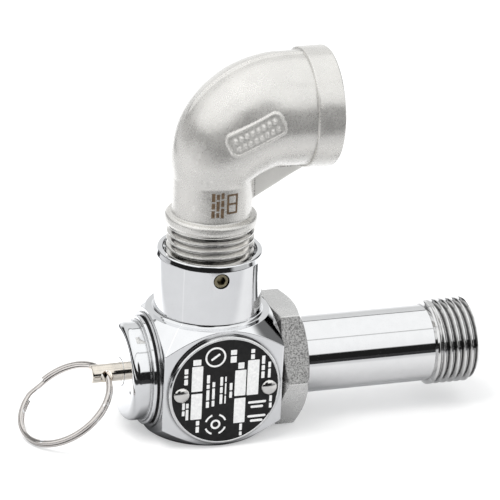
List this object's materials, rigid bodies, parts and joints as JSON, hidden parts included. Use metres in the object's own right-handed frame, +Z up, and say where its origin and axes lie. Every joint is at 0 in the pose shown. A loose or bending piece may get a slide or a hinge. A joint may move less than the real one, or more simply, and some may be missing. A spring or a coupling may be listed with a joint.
{
  "type": "pressure relief valve",
  "caption": "Angle pressure relief valve with pull-ring stem, round name plate, hexagon inlet nipple with pipe thread and a street elbow on its outlet neck.",
  "frame": {"origin": "centre of the body's flat round base, under the crossing of the valve axis and the outlet axis", "axes": "+X out of the inlet thread along the valve axis, +Z up the outlet neck, -Y faces the name plate"},
  "size_m": [0.1146, 0.0339, 0.0945],
  "materials": {
    "body_chrome": "polished",
    "cap_chrome": "polished",
    "bonnet_nickel": "satin nickel plate",
    "seal_rubber": "matte",
    "gasket_black": "matte fibre",
    "brass_parts": "machined",
    "spring_steel": "bright drawn",
    "seat_elastomer": "matte moulded",
    "stem_nickel": "warm nickel, turned",
    "ring_steel": "bright wire",
    "nozzle_steel": "turned, with a satin cast hexagon",
    "plate_black": "satin enamel, bright bevelled rim",
    "screw_steel": "bright domed",
    "elbow_steel": "bead-blasted investment casting",
    "grub_brass": "dulled"
  },
  "bodies": {
    "valve": {"valve_body": "body_chrome", "bonnet": "bonnet_nickel", "bonnet_o_ring": "seal_rubber", "cap_gasket": "gasket_black", "cap": "cap_chrome", "stem_bush": "brass_parts", "stem_o_ring": "seal_rubber", "spring": "spring_steel", "inlet_nozzle": "nozzle_steel", "nozzle_gasket": "gasket_black", "nameplate": "plate_black", "nameplate_screws": "screw_steel", "grub_screw": "grub_brass"},
    "elbow": {"outlet_elbow": "elbow_steel"},
    "adjuster": {"adjusting_screw": "brass_parts", "lock_ring": "brass_parts", "upper_spring_washer": "spring_steel"},
    "stem": {"lift_stem": "stem_nickel", "disc_holder": "brass_parts", "seat_disc": "seat_elastomer", "disc_washer": "spring_steel", "stem_nut": "spring_steel"},
    "ring": {"pull_ring": "ring_steel"}
  },
  "joints": [
    {"name": "stem_lift", "type": "slide", "parent": "valve", "child": "stem", "axis": [-1, 0, 0], "range_m": [0, 0.0025], "stiffness_N_per_m": 400, "springref_m": -0.01, "deforming": ["spring"]},
    {"name": "ring_swing", "type": "hinge", "parent": "stem", "child": "ring", "pos_m": [-0.0254, 0, 0.015], "axis": [-0.1519, 0.9824, 0.1092], "range_deg": [-70, 140]},
    {"name": "pressure_set", "type": "slide", "parent": "valve", "child": "adjuster", "axis": [1, 0, 0], "range_m": [-0.0008, 0.0008], "deforming": ["spring"]},
    {"name": "elbow_turn", "type": "hinge", "parent": "valve", "child": "elbow", "pos_m": [0, 0, 0.0428], "axis": [0, 0, 1], "range_deg": [-180, 180]}
  ]
}
